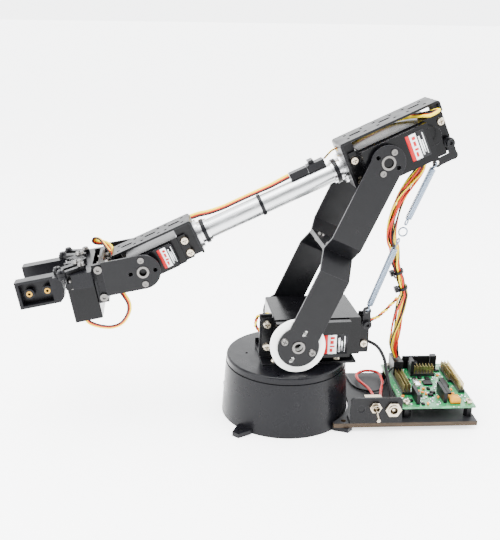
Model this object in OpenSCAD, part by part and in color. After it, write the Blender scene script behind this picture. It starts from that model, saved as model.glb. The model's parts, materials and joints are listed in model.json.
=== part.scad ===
// Desktop robot arm: turning base, two-link arm, tilting wrist and parallel-jaw gripper,
// with its servo controller on a carrier plate beside the base. Millimetres.
// +X is the way the arm reaches, +Y the side of the servo outputs, +Z up.
// The origin is the centre of the base's underside.

/* [Base] */
// Radius of the base housing at the floor
base_r = 50; // [48:0.5:52]
// Radius of the turntable disc
turn_r = 46.4; // [44:0.2:47]
// Height of the turntable's underside
turn_z = 42.4; // [41:0.2:44]
// Thickness of the turntable disc
turn_t = 5.2; // [4:0.2:6]
// Turn of the four base ears about Z, in degrees
ear_yaw = 44.3; // [40:0.1:50]
// Distance of the ear holes from the centre
ear_hole_r = 55.4; // [55:0.1:57]

/* [Arm] */
// Shoulder axis to elbow axis
arm_len = 146; // [130:1:160]
// Elbow axis to wrist axis
fore_len = 187.3; // [170:0.1:200]
// Lean of the upper arm back from upright, in degrees
arm_lean = 24.4; // [0:0.1:40]
// Slope of the forearm down from level, in degrees
fore_drop = 24.3; // [10:0.1:30]
// Slope of the gripper down from level, in degrees
grip_drop = 10; // [0:1:20]
// Width of the arm brackets
arm_w = 23.5; // [22:0.5:25]
// Thickness of the bracket sheet
sheet = 1.6; // [1.2:0.1:2]
// Radial clearance of a pin in its bore
fit = 0.05; // [0.02:0.01:0.1]

/* [Gripper] */
// Gap between the finger faces
grip_gap = 27; // [24:0.5:30]
// Length of a gripper link between its pivots
link_len = 15.4; // [14:0.1:17]
// Length of a finger
finger_len = 32.5; // [30:0.5:40]
// Height of a finger
finger_h = 20; // [18:0.5:22]

/* [Electronics] */
// Turn of the carrier plate about Z, in degrees
carrier_yaw = -3.7; // [-6:0.1:0]
// Length of the controller board across the carrier
board_l = 75; // [70:1:77]
// Width of the controller board
board_w = 56.7; // [55:0.1:58]
// Height of the board's top face
board_z = 17.2; // [16:0.1:19]

/* [Hidden] */
$fn = 64;
sh_x = -2;
sh_z = 69;
turn_top = turn_z + turn_t;
deck = turn_z - 13;
elbow = [sh_x - arm_len * sin(arm_lean), 0, sh_z + arm_len * cos(arm_lean)];
wrist = elbow + fore_len * [cos(fore_drop), 0, -sin(fore_drop)];

// Servo sizes: case [long, wide, deep], shaft offset, ear top below the face, ear thickness,
// ear overall length and ear hole spacings
std_servo = [[40.6, 19.8, 36], 10.3, 6, 2.5, 53, [49.5, 9.8]];
big_servo = [[59, 29, 49], 14.2, 10.1, 2.7, 71, [66.4, 15.6]];
giant_servo = [[66, 30, 56], 17.8, 13, 2.9, 83, [75, 18]];
spline_r = 3;
base_face = deck + std_servo[2] + std_servo[3];

// Where the servo faces lie along Y, and the outer faces of the bracket legs
sh_face = 28.5;
el_face = 26.5;
wr_face = 17.5;
leg_low = 39.4;
leg_low_far = -36;
leg_up = 31.4;
web_y = 24.1;
web_s = 72.2;
bend_low = 59;
bend_up = 81.9;
leg_wr = 24.5;
web_wr = 27.7;
idler_r = 4;

// Forearm: sections along it, and the tube
el_br = [-51.5, 25, 22.5, -11];
wr_br = [142.5, 204.8, 17, -9];
tube_r = 7.25;
tube_t = 2;

// Gripper linkage in the wrist's frame: the drive pivot, the second pivot and the finger pivot
grip_u = 45;
finger_t = 9;
finger_mid = grip_gap / 2 + finger_t / 2;
drive_y = 10.6;
link_a = asin((finger_mid - drive_y) / link_len);
pivot_off = [-3.5, 9];
finger_pin = [grip_u + link_len * cos(link_a), finger_mid];
plate_v = 7;
link_v = 9.3;
link_t = 2.5;
gear_teeth = 20;
gear_r = drive_y;
tooth_m = 2 * gear_r / gear_teeth;
link_top = link_v + link_t + 0.3;
finger_u = 56.8;
mount_bolt_u = 30.6;

// Screw places: shoulder bracket on the turntable, panel foot on the carrier, yoke on the gripper mount
bracket_bolts = [[12, -10], [-36, -10], [12, 18], [-36, 18]];
foot_bolts = [[-80, 34], [-50, 34]];
yoke_bolts = [[-9, -7], [9, -7], [-9, 7], [9, 7]];
mount_bolts = [-13.4, 7.4];
spring_y = 21;
low_eye = [-57, 88.5];
low_top = [-77.5, 144.4];
ring_at = [-80, 149.5];
up_low = [-81.3, 154.8];
up_eye = [-100.33, 200.27];

// Carrier and board, in the carrier's own frame: x is minus the distance from the base
plate_z = 3.5;
plate_t = 3.5;
board_x = -143;
board_y = -38.7;
board_t = 1.6;
board_holes = [for (x = [4, board_w - 4], y = [4.5, board_l - 5]) [board_x + x, board_y + y]];
panel_y = 41.4;
toggle_x = -64;
toggle_z = 20.6;
lever_down = 24;
lever_out = 1.5;
jack_x = -77.6;

// Centre lines of the leads: in the row's frame for the arm, in the carrier's for the board
elbow_bundle_pts = [
    [-94.9, 2, 200.2], [-97, 2, 195.5], [-95.5, 1, 190], [-89, 0, 179.5], [-82.5, -1, 167], [-79, -3, 149],
    [-79.75, -4, 137.8]];
arm_bundle_pts = [[-79.9, -4, 136.2], [-83, -5, 130], [-85, -6, 118], [-89, -7, 108], [-95, -9, 91.8]];
base_bundle_pts = [[-95.2, -9, 90.2], [-94.5, -10, 84], [-92, -12, 60], [-92, -14, 44], [-95.8, -16.5, 32.5]];
shoulder_lead_pts = [
    [-53.2, 3, 70], [-58, 5, 71.5], [-64, 7, 74.5], [-72, 6, 78.5], [-80, 2, 83.5], [-88.5, -4.5, 88]];
shoulder_loop_pts = [
    [13.5, 2, 80.5], [17.5, 2, 81], [22.5, 2, 79.5], [24.7, 2, 74], [22.3, 2, 68], [17.5, 2, 65.5],
    [13.5, 2, 65.5]];
jack_cable_pts = [
    [-53.6, 2.5, 58], [-58, 2.8, 58.6], [-63, 3.6, 58.2], [-70.5, 8.5, 55], [-75, 13, 47.5], [-76.5, 17, 39],
    [-78.5, 23, 28], [-79.6, 27, 20.5], [-79.6, 30.1, 19]];
red_lead_pts = [
    [-67, 29.2, 20.6], [-68.5, 20, 17], [-70.5, 6, 11.5], [-69.5, -8, 10.6], [-64.5, -24, 10.4],
    [-65, -34, 10.4], [-71, -40, 10.4], [-78.5, -40.5, 10.4], [-83.8, -37, 10.4], [-84.6, -29, 10.4],
    [-83.4, -18, 10.6], [-79, -4, 11], [-75.5, 10, 12], [-74.5, 22, 16], [-75.6, 30, 18.6]];
black_lead_pts = [
    [-31.4, -39.5, 12], [-36, -45, 9.5], [-46, -47, 8], [-55.5, -41, 8], [-57.5, -30, 8], [-59, -20, 8],
    [-64, -12, 8], [-73, -8, 8], [-80, -9, 9.5], [-84.6, -12, 15], [-87, -14.4, 22], [-90.4, -15.5, 25.5]];
fore_lead_a_pts = [[25.4, 1, 17.5], [29, 1, 17.4], [33, 0.5, 15.8], [36.2, 0, 14.2]];
fore_lead_b_pts = [
    [64.3, -1, 12.6], [72, -1, 12.2], [80, -1, 11.7], [90, -1.5, 11.7], [100, -3, 11.4], [110, -5, 10.8],
    [118, -6, 10.6], [128, -6.5, 11.5], [136, -6, 13.4], [142.2, -5, 14.2]];
grip_lead_pts = [
    [47, 16, -29.5], [45.5, 16.5, -32.5], [39.5, 17.5, -36], [31, 18.5, -38.2], [23, 18.5, -36.5],
    [17, 18, -30], [15.5, 17.5, -23.5], [17.5, 16.5, -17], [21, 13, -10], [22, 5, -2], [21.9, -5, 5], [22.2, -12, 11.4],
    [26, -14, 15.4], [30.5, -13, 17], [33, -11.5, 19.2], [31.4, -10.5, 21.6], [28, -8.5, 20.4],
    [25.2, -6, 15.8], [23.6, -4.4, 13], [22.7, -3.6, 11.4]];

black = "#1c1c1e";
metal = "silver";

// ---------- frames ----------

module in_upper() {
    translate([sh_x, 0, sh_z]) rotate([0, -arm_lean, 0]) children();
}

module in_fore() {
    translate(elbow) rotate([0, fore_drop, 0]) children();
}

module in_grip() {
    translate(wrist) rotate([0, grip_drop, 0]) children();
}

module on_carrier() {
    rotate([0, 0, carrier_yaw]) children();
}

// Local +Z turned to point along +Y
module facing_y(y = 0) {
    translate([0, y, 0]) rotate([-90, 0, 0]) children();
}

module mirrored() {
    children();
    mirror([0, 1, 0]) children();
}

// ---------- shapes that repeat ----------

module slab(from, to) {
    translate(from) cube(to - from);
}

module disc(r, h, z = 0) {
    translate([0, 0, z]) cylinder(r = r, h = h);
}

module pan_screw(r, h, shank = 0, shank_r = 1.2) {
    difference() {
        cylinder(r1 = r, r2 = r * 0.78, h = h);
        translate([0, 0, h * 0.55]) for (a = [0, 90]) rotate(a) cube([r * 1.1, r * 0.26, h], center = true);
    }
    if (shank > 0) translate([0, 0, -shank]) cylinder(r = shank_r, h = shank);
}

module cap_screw(r, h, shank = 0, shank_r = 1.2) {
    difference() {
        cylinder(r = r, h = h);
        translate([0, 0, h * 0.4]) cylinder(r = r * 0.5, h = h, $fn = 6);
    }
    if (shank > 0) translate([0, 0, -shank]) cylinder(r = shank_r, h = shank);
}

module hex_nut(r, h, bore) {
    difference() {
        cylinder(r = r, h = h, $fn = 6);
        translate([0, 0, -1]) cylinder(r = bore, h = h + 2);
    }
}

module rounded_rect(w, h, r) {
    for (x = [-w / 2 + r, w / 2 - r], y = [-h / 2 + r, h / 2 - r]) translate([x, y]) circle(r);
    square([w, h - 2 * r], center = true);
    square([w - 2 * r, h], center = true);
}

module slot_2d(len, w) {
    for (x = [-1, 1]) translate([x * (len - w) / 2, 0]) circle(w / 2);
    square([len - w, w], center = true);
}

// Flat bar with round ends between two points
module bar_2d(a, b, w, ra, rb) {
    d = b - a;
    translate(a) circle(ra);
    translate(b) circle(rb);
    translate(a) rotate(atan2(d[1], d[0])) translate([0, -w / 2]) square([norm(d), w]);
}

// A servo: output shaft along +Z, case face at z = 0, case running back along -X from the shaft
module servo(s) {
    size = s[0];
    mid = -s[1];
    deep = size[2];
    cover = 0.12 * deep;
    difference() {
        union() {
            translate([mid, 0, -deep]) linear_extrude(deep - cover) rounded_rect(size[0], size[1], 1.2);
            slab(
                [mid - 0.36 * size[0], -size[1] / 2 + 0.8, -cover - 0.1],
                [mid + size[0] / 2 - 0.6, size[1] / 2 - 0.8, 0]);
            slab(
                [mid - s[4] / 2, -size[1] / 2 + 0.5, -s[2] - s[3]],
                [mid + s[4] / 2, size[1] / 2 - 0.5, -s[2]]);
        }
        at_ears(s) disc(1.7, s[3] + 2, -s[3] - 1);
    }
    disc(size[1] * 0.26, 0.8);
    disc(spline_r, 4.2);
}

// The places of a servo's ear screws, on the outer face of the ears, without the one that is left out
module at_ears(s, leave_out = [0, 0]) {
    for (x = [-1, 1], y = [-1, 1]) {
        if ([x, y] != leave_out) translate([-s[1] + x * s[5][0] / 2, y * s[5][1] / 2, -s[2]]) children();
    }
}

// Servo horn: a disc on a hub that runs on the shaft, with four screw holes at hole_at from its axis
module horn(r, hub_r, z0, z1, z2, hole_at) {
    difference() {
        union() {
            translate([0, 0, z0]) cylinder(r = hub_r, h = z1 - z0);
            translate([0, 0, z1]) cylinder(r = r, h = z2 - z1);
        }
        translate([0, 0, z0 - 1]) cylinder(r = spline_r + fit, h = z2 - z0 + 2);
        for (a = [0:90:270]) rotate(a) translate([hole_at, 0, z1 - 1]) cylinder(r = 1.45, h = z2 - z1 + 2);
    }
}

// Stub axle on the far side of a servo, pointing along +Z through a bracket's leg that ends at reach
module far_idler(reach) {
    base = reach - sheet - 0.2;
    leg = sheet + 0.7;
    cylinder(r = 6.5, h = base);
    translate([0, 0, base]) cylinder(r = idler_r, h = leg);
    translate([0, 0, base + leg]) difference() {
        cylinder(r = 5.6, h = 1.2);
        translate([0, 0, 0.5]) cylinder(r = 1.6, h = 1, $fn = 6);
    }
}

// ---------- bent sheet ----------

// The inner side of an open outline, one sheet thickness to its right
function unit(v) = v / norm(v);
function right_of(v) = [v[1], -v[0]];
function mitre(a, b) = (a + b) / (1 + a * b);
function seg_n(p, i) = right_of(unit(p[i + 1] - p[i]));
function inner_pt(p, i, t) =
    let (before = seg_n(p, max(i - 1, 0)), after = seg_n(p, min(i, len(p) - 2)))
    p[i] + t * mitre(before, after);
function strip(p, t) = concat(p, [for (i = [len(p) - 1:-1:0]) inner_pt(p, i, t)]);

// A strip outline given in (y, z) and run out along X to the width w
module bent(p, w, t = sheet) {
    rotate([90, 0, 90]) linear_extrude(w, center = true) polygon(strip(p, t));
}

// ---------- swept leads ----------

function spline_at(p, i, u) =
    let (a = p[max(i - 1, 0)], b = p[i], c = p[i + 1], d = p[min(i + 2, len(p) - 1)])
    0.5 * (2 * b + (c - a) * u + (2 * a - 5 * b + 4 * c - d) * u * u + (3 * b - a - 3 * c + d) * u * u * u);
function smooth(p, n) = [
    for (i = [0:len(p) - 2], k = [0:n - 1]) spline_at(p, i, k / n),
    p[len(p) - 1]];
function tangent(p, i) = unit(p[min(i + 1, len(p) - 1)] - p[max(i - 1, 0)]);
function carry(n, t) = unit(n - (n * t) * t);
function normals(p, i = 0, last = [0.3, 1, 0.2]) =
    i == len(p) ? [] : let (n = carry(last, tangent(p, i))) concat([n], normals(p, i + 1, n));

module lead(pts, r, n = 4) {
    sides = 8;
    p = smooth(pts, n);
    nn = normals(p);
    rings = [for (i = [0:len(p) - 1], k = [0:sides - 1])
        let (b = cross(tangent(p, i), nn[i]), a = 360 * k / sides)
        p[i] + r * (cos(a) * nn[i] + sin(a) * b)];
    walls = [for (i = [0:len(p) - 2], k = [0:sides - 1])
        let (a = i * sides + k, b = i * sides + (k + 1) % sides)
        each [[a, a + sides, b], [b, a + sides, b + sides]]];
    last = (len(p) - 1) * sides;
    polyhedron(rings, concat(walls, [[for (k = [0:sides - 1]) k]], [[for (k = [sides - 1:-1:0]) last + k]]));
}

// ---------- base ----------

module base_ear() {
    difference() {
        linear_extrude(plate_z) polygon([[44, -7], [52, -6.4], [61.6, -3], [61.6, 3], [52, 6.4], [44, 7]]);
        translate([ear_hole_r, 0, -1]) cylinder(r = 2, h = plate_z + 2);
    }
}

module base_housing() {
    wall = 2.6;
    color(black) difference() {
        union() {
            cylinder(r1 = base_r, r2 = base_r - 3.1, h = turn_z - 0.6);
            for (i = [0:3]) rotate(ear_yaw + 90 * i) base_ear();
        }
        translate([0, 0, -1]) cylinder(r1 = base_r - wall, r2 = base_r - wall - 2, h = deck - 1.6);
        translate([0, 0, deck]) cylinder(r = base_r - 3.1 - wall, h = turn_z);
        slab([-std_servo[1] - 20.6, -10.2, 0], [-std_servo[1] + 20.6, 10.2, turn_z]);
        translate([0, 0, base_face]) at_ears(std_servo) disc(1.6, 8, -8);
    }
}

module base_servo() {
    color("#202022") translate([0, 0, base_face]) servo(std_servo);
}

module ball_ring() {
    ring_r = 41.5;
    color(metal) difference() {
        translate([0, 0, deck]) cylinder(r = ring_r + 2, h = 11);
        translate([0, 0, deck - 1]) cylinder(r = ring_r - 2, h = 13);
    }
    color(metal) for (i = [0:15]) rotate(i * 22.5) translate([ring_r, 0, turn_z - 1.45]) sphere(r = 1.4);
}

module turntable() {
    edge = 1.4;
    color(black) difference() {
        union() {
            translate([0, 0, turn_z]) rotate_extrude() {
                square([turn_r - edge, turn_t]);
                square([turn_r, turn_t - edge]);
                translate([turn_r - edge, turn_t - edge]) circle(edge);
            }
            translate([0, 0, turn_z - 1.2]) cylinder(r = 14, h = 2);
        }
        for (p = [[30.8, -1.4], [12.4, 40]]) translate([p[0], p[1], turn_top - 2]) cylinder(r = 1.1, h = 3);
        translate([0, 0, turn_z - 2]) cylinder(r = spline_r + 0.6, h = 4);
        for (p = bracket_bolts) translate([p[0], p[1], turn_top - 4]) cylinder(r = 1.65, h = 5);
    }
}

module base_horn() {
    color("#ececea") translate([0, 0, base_face]) horn(12, 5, 1, 1.6, turn_z - 1.2 - base_face, 9);
}

// ---------- electronics carrier ----------

module carrier_plate() {
    color("#2b2320") translate([0, 0, plate_z]) difference() {
        on_carrier() slab([-143.5, -44, 0], [-33, 41.5, plate_t]);
        translate([0, 0, -1]) cylinder(r = base_r + 0.6, h = plate_t + 2);
        for (i = [1, 2]) rotate(ear_yaw + 90 * i) translate([ear_hole_r, 0, -1]) {
            cylinder(r = 2, h = plate_t + 2);
        }
        on_carrier() for (p = concat(board_holes, foot_bolts)) translate([p[0], p[1], -1]) {
            cylinder(r = 1.5, h = plate_t + 2);
        }
    }
}

// Every screw of the base: board and standoffs, panel foot and base servo
module base_screws() {
    color(black) on_carrier() {
        for (p = board_holes) {
            translate([p[0], p[1], board_z]) cap_screw(2.6, 2.6, 4, 1.4);
            translate([p[0], p[1], plate_z]) mirror([0, 0, 1]) pan_screw(2.6, 1.6, 6, 1.4);
        }
        for (p = foot_bolts) translate([p[0], p[1], plate_z + plate_t + 1.6]) pan_screw(2.6, 1.4, 4, 1.4);
    }
    color(metal) translate([0, 0, base_face]) at_ears(std_servo) pan_screw(2.8, 1.6, 4.5, 1.5);
}

module switch_panel() {
    z0 = plate_z + plate_t;
    color("#19191b") on_carrier() difference() {
        union() {
            translate([-65, panel_y, z0 + 10.5]) rotate([90, 0, 0]) linear_extrude(sheet) {
                rounded_rect(39.2, 21, 3);
            }
            slab([-84.6, panel_y - sheet, z0], [-45.4, panel_y, z0 + 8]);
            slab([-84.6, panel_y - 12, z0], [-45.4, panel_y - 1, z0 + sheet]);
        }
        translate([toggle_x, panel_y + 1, toggle_z]) rotate([90, 0, 0]) cylinder(r = 3.1, h = 4);
        translate([jack_x, panel_y + 1, toggle_z - 2]) rotate([90, 0, 0]) cylinder(r = 4.1, h = 4);
        translate([-53.5, panel_y + 1, toggle_z - 1.8]) rotate([90, 0, 0]) cylinder(r = 3, h = 1.6);
        for (p = foot_bolts) translate([p[0], p[1], z0 - 1]) cylinder(r = 1.5, h = 4);
    }
}

module toggle_switch() {
    color(metal) on_carrier() translate([toggle_x, panel_y, toggle_z]) rotate([-90, 0, 0]) {
        difference() {
            union() {
                translate([0, 0, -2.4]) cylinder(r = 3, h = 6.4);
                translate([-6.4, -4, -12]) cube([12.8, 8, 9.6]);
            }
            translate([0, 0, -1]) cylinder(r1 = 1.8, r2 = 2.6, h = 5.2);
        }
        difference() {
            cylinder(r = 4.6, h = 2, $fn = 6);
            translate([0, 0, -1]) cylinder(r = 3, h = 4);
        }
    }
}

module toggle_lever() {
    pivot = [toggle_x, panel_y + lever_out, toggle_z];
    color(metal) on_carrier() translate(pivot) rotate([-90 - lever_down, 0, 0]) {
        sphere(r = 1.4);
        rotate([0, 90, 0]) cylinder(r = 0.5, h = 3.6, center = true);
        cylinder(r1 = 0.7, r2 = 1.1, h = 11.5);
        translate([0, 0, 11.5]) sphere(r = 1.5);
    }
}

module power_jack() {
    color(metal) on_carrier() translate([jack_x, panel_y, toggle_z - 2]) rotate([-90, 0, 0]) {
        difference() {
            union() {
                translate([0, 0, -11]) cylinder(r = 4, h = 14);
                cylinder(r = 6.2, h = 2, $fn = 6);
            }
            translate([0, 0, -6]) cylinder(r = 2.9, h = 10);
        }
        translate([0, 0, -7]) cylinder(r = 1, h = 8.5);
    }
}

module standoffs() {
    z0 = plate_z + plate_t;
    color(black) on_carrier() for (p = board_holes) translate([p[0], p[1], z0]) {
        difference() {
            cylinder(r = 3.4, h = board_z - board_t - z0, $fn = 6);
            translate([0, 0, -1]) cylinder(r = 1.5, h = board_z - board_t - z0 + 2);
        }
    }
}

module controller_board() {
    color("#1f7a3c") on_carrier() difference() {
        slab([board_x, board_y, board_z - board_t], [board_x + board_w, board_y + board_l, board_z]);
        for (p = board_holes) translate([p[0], p[1], board_z - 4]) cylinder(r = 1.5, h = 6);
    }
}

// Pin header: nx by ny pins at 2.54 mm, its first pin at (x, y)
module header(x, y, nx, ny, pin = 8.5) {
    pitch = 2.54;
    half = 0.32;
    translate([x, y, board_z]) {
        slab([-pitch / 2, -pitch / 2, 0], [(nx - 0.5) * pitch, (ny - 0.5) * pitch, 2.5]);
        for (i = [0:nx - 1], j = [0:ny - 1]) translate([i * pitch, j * pitch, 0]) {
            slab([-half, -half, 2.4], [half, half, pin]);
        }
    }
}

module board_headers() {
    color("#b89b4a") on_carrier() {
        header(-97, -30, 3, 19);
        header(-124.5, -21, 8, 3);
        header(-140, -27, 2, 17);
        header(-134.8, -27, 1, 10);
    }
}

module board_chips() {
    color("#141416") on_carrier() {
        slab([-119.5, -5.5, board_z], [-112.5, 1.5, board_z + 1.6]);
        slab([-100.5, 17, board_z], [-97.9, 33, board_z + 8.5]);
        slab([-122, 11, board_z], [-119.5, 31, board_z + 8.5]);
        slab([-127.4, 8, board_z], [-124.8, 24, board_z + 5]);
        slab([-132, 25, board_z], [-124.5, 33, board_z + 4]);
        slab([-130.5, -33, board_z], [-125.5, -28, board_z + 12]);
        slab([-125.3, -32, board_z], [-102, -30.4, board_z + 11]);
        slab([-108, -4, board_z], [-104, 6, board_z + 3.5]);
        slab([-131.5, -8, board_z], [-127, 6, board_z + 2]);
        translate([-110, -27, board_z]) cylinder(r = 4, h = 8);
    }
}

// A plug over some of a header's pins, open below
module plug(from, to) {
    wall = 0.7;
    difference() {
        slab([from[0], from[1], board_z + 2.7], [to[0], to[1], board_z + 14]);
        slab([from[0] + wall, from[1] + wall, board_z], [to[0] - wall, to[1] - wall, board_z + 8.8]);
    }
}

module lead_plugs() {
    color("#121213") on_carrier() {
        plug([-98.4, -31.5], [-90.7, -13.7]);
        plug([-108, -22.5], [-105.4, -14.5]);
    }
}

module board_leads() {
    on_carrier() {
        color("red") lead(red_lead_pts, 1.1, 3);
        color(black) lead(black_lead_pts, 0.8, 3);
    }
}

module base_leads() {
    color("#c8a020") lead(base_bundle_pts, 3);
    color(black) on_carrier() lead(jack_cable_pts, 1.3, 3);
}

// ---------- shoulder ----------

module shoulder_bracket() {
    ear_y = sh_face - giant_servo[2] - giant_servo[3];
    z0 = turn_top;
    color(black) difference() {
        union() {
            slab([-50, -18, z0], [22, 24, z0 + sheet]);
            slab([sh_x - 60, ear_y - sheet, z0], [sh_x + 25, ear_y, sh_z + 16]);
            slab([-50, -18, z0], [22, -18 + sheet, z0 + 6]);
        }
        slab([sh_x - 51.2, ear_y - 4, sh_z - 15.2], [sh_x + 15.6, ear_y + 4, sh_z + 20]);
        slab([sh_x - 70, ear_y - 4, z0 - 1], [-50, ear_y + 4, sh_z - 18]);
        slab([22, ear_y - 4, z0 - 1], [sh_x + 40, ear_y + 4, sh_z - 18]);
        translate([sh_x, sh_face, sh_z]) rotate([-90, 0, 0]) at_ears(giant_servo) disc(1.7, 12, -8);
        for (p = bracket_bolts) translate([p[0], p[1], z0 - 1]) cylinder(r = 1.7, h = 4);
    }
}

module at_shoulder() {
    translate([sh_x, sh_face, sh_z]) rotate([-90, 0, 0]) children();
}

module shoulder_servo() {
    color("#202022") at_shoulder() servo(giant_servo);
}

module shoulder_screws() {
    color(metal) at_shoulder() at_ears(giant_servo, [-1, -1]) {
        pan_screw(3.3, 2.1, 5.5, 1.6);
        translate([0, 0, -giant_servo[3] - sheet - 2.4]) hex_nut(3.2, 2.4, 1.6);
    }
    color(metal) for (p = bracket_bolts) translate([p[0], p[1], turn_top + sheet]) {
        pan_screw(2.8, 1.6, 5, 1.6);
    }
}

module shoulder_idler() {
    back = sh_face - giant_servo[0][2];
    color("#2a2a2c") translate([sh_x, back, sh_z]) rotate([90, 0, 0]) far_idler(back - leg_low_far);
}

// ---------- springs ----------

// Flat link from a servo's ear to a spring's eye, in the plane y = spring_y, on a spacer and one long screw
module spring_tab(bolt, bend, eye, ear_y) {
    tab_t = 1.6;
    grip = spring_y + tab_t / 2;
    color(black) translate([0, grip, 0]) rotate([90, 0, 0]) linear_extrude(tab_t) difference() {
        union() {
            bar_2d(bolt, bend, 5.4, 3.8, 3.1);
            bar_2d(bend, eye, 5.4, 3.1, 3.1);
        }
        translate(bolt) circle(1.5);
        translate(eye) circle(1.6);
    }
    translate([bolt[0], ear_y, bolt[1]]) rotate([-90, 0, 0]) {
        color(metal) difference() {
            cylinder(r = 3, h = grip - tab_t - ear_y);
            translate([0, 0, -1]) cylinder(r = 1.5, h = 8);
        }
        color(metal) translate([0, 0, grip - ear_y]) cap_screw(2.9, 3, grip - ear_y + 4, 1.5);
    }
}

module lower_spring_tab() {
    bolt = [sh_x - giant_servo[1] - giant_servo[5][0] / 2, sh_z + giant_servo[5][1] / 2];
    spring_tab(bolt, [-57.2, 83], low_eye, sh_face - giant_servo[2]);
}

module hoop(r, wire) {
    rotate_extrude() translate([r, 0]) circle(wire);
}

// Close-wound spring from a to b in the plane y = spring_y, with an eye on a straight hook at each end
module spring(a, b, hook_a, hook_b) {
    d = b - a;
    len = norm(d);
    eye = 2.1;
    wire = 0.4;
    translate([a[0], spring_y, a[1]]) rotate([0, atan2(d[0], d[1]), 0]) {
        difference() {
            translate([0, 0, hook_a]) cylinder(r = 2.2, h = len - hook_a - hook_b);
            translate([0, 0, hook_a + 0.6]) cylinder(r = 1.4, h = len - hook_a - hook_b - 1.2);
        }
        for (z = [eye, len - eye]) translate([0, 0, z]) rotate([0, 90, 0]) hoop(eye, wire);
        translate([0, 0, 2 * eye]) cylinder(r = wire, h = hook_a - 2 * eye + 0.1);
        translate([0, 0, len - hook_b - 0.1]) cylinder(r = wire, h = hook_b - 2 * eye + 0.1);
    }
}

module lower_spring() {
    color(metal) spring(low_eye, low_top, 5, 8);
}

// The upper spring and the ring that joins it to the lower one
module upper_spring() {
    color(metal) spring(up_low, up_eye, 5, 5);
    color(metal) translate([ring_at[0], spring_y, ring_at[1]]) rotate([90, 0, 0]) hoop(3.2, 0.4);
}

module upper_spring_tab() {
    bolt = [-big_servo[1] - big_servo[5][0] / 2, -big_servo[5][1] / 2];
    in_fore() spring_tab(bolt, [bolt[0], -17.4], [-34.5, -17.8], el_face - big_servo[2]);
}

// ---------- upper arm ----------

module leg_outline(r, top) {
    circle(r);
    translate([-arm_w / 2, 0]) square([arm_w, top]);
}

module leg_mask(r, top) {
    rotate([90, 0, 0]) linear_extrude(200, center = true) leg_outline(r, top);
}

// Holes round a hub: two on the cross axis, two along the arm
module hub_holes(y, r, across, along, centre) {
    translate([0, y, 0]) rotate([-90, 0, 0]) translate([0, 0, -3]) {
        cylinder(r = centre, h = 6);
        for (a = [-1, 1]) {
            translate([a * r, 0, 0]) cylinder(r = across, h = 6);
            translate([0, a * r, 0]) cylinder(r = along, h = 6);
        }
    }
}

module lower_arm_bracket() {
    outline = [
        [leg_low_far, -20], [leg_low_far, bend_low], [-web_y, web_s],
        [web_y, web_s], [leg_low, bend_low], [leg_low, -20]];
    color(black) in_upper() difference() {
        intersection() {
            bent(outline, 40);
            leg_mask(15.4, web_s + 1);
        }
        hub_holes(leg_low, 11.3, 1.9, 1.5, 4.8);
        translate([0, leg_low, 0]) rotate([90, 90, 0]) linear_extrude(6, center = true) {
            for (x = [-11.2, 11.2]) translate([x, 0]) slot_2d(5.6, 3);
        }
        hub_holes(leg_low_far, 11.3, 1.5, 1.5, idler_r + fit);
        web_holes();
    }
}

module upper_arm_bracket() {
    top = arm_len + 20;
    outline = [
        [leg_up, top], [leg_up, bend_up], [web_y, web_s],
        [-web_y, web_s], [-leg_up, bend_up], [-leg_up, top]];
    color(black) in_upper() difference() {
        intersection() {
            bent(outline, 40);
            translate([0, 0, arm_len]) mirror([0, 0, 1]) leg_mask(12.4, arm_len - web_s + 1);
        }
        translate([0, 0, arm_len]) hub_holes(leg_up, 8.3, 1.7, 1.5, 5.2);
        translate([0, 0, arm_len]) hub_holes(-leg_up, 8.3, 1.5, 1.5, idler_r + fit);
        web_holes();
    }
}

web_bolt_at = [for (x = [-6, 6], y = [-14, 14]) [x, y]];

module web_holes() {
    for (p = web_bolt_at) translate([p[0], p[1], web_s - 4]) cylinder(r = 1.6, h = 8);
}

module shoulder_horn() {
    top = leg_low - sheet - sh_face;
    color("#f4f4f2") in_upper() facing_y(sh_face) horn(20.3, 8, 1, top - 4, top, 11.3);
}

module elbow_horn() {
    top = leg_up - sheet - el_face;
    color("#26262a") in_upper() translate([0, 0, arm_len]) facing_y(el_face) horn(11.6, 6, 1, 1.6, top, 8.3);
}

// The upper arm's screws: bracket to bracket, legs to horns, and the collar at each hub
module arm_screws() {
    color(metal) in_upper() {
        for (p = web_bolt_at) translate([p[0], p[1], web_s]) {
            translate([0, 0, sheet]) pan_screw(2.7, 1.7, 2 * sheet + 2.8, 1.5);
            translate([0, 0, -sheet - 2.2]) hex_nut(3, 2.2, 1.5);
        }
        facing_y(leg_low) {
            for (x = [-11.3, 11.3]) translate([x, 0, 0]) pan_screw(2.9, 1.2, 3.6, 1.4);
            collar(4.7, 0.9);
        }
        translate([0, 0, arm_len]) facing_y(leg_up) {
            for (z = [-8.3, 8.3]) translate([0, z, 0]) cap_screw(2.2, 1, 3.4, 1.4);
            collar(5.1, 0.7);
        }
    }
}

module collar(r, h) {
    difference() {
        translate([0, 0, -sheet]) cylinder(r = r, h = sheet + h);
        translate([0, 0, -sheet - 1]) cylinder(r = r - 1.5, h = sheet + h + 2);
    }
}

// ---------- forearm ----------

module at_elbow() {
    in_fore() facing_y(el_face) children();
}

module at_wrist() {
    in_fore() translate([fore_len, 0, 0]) facing_y(wr_face) children();
}

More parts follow.
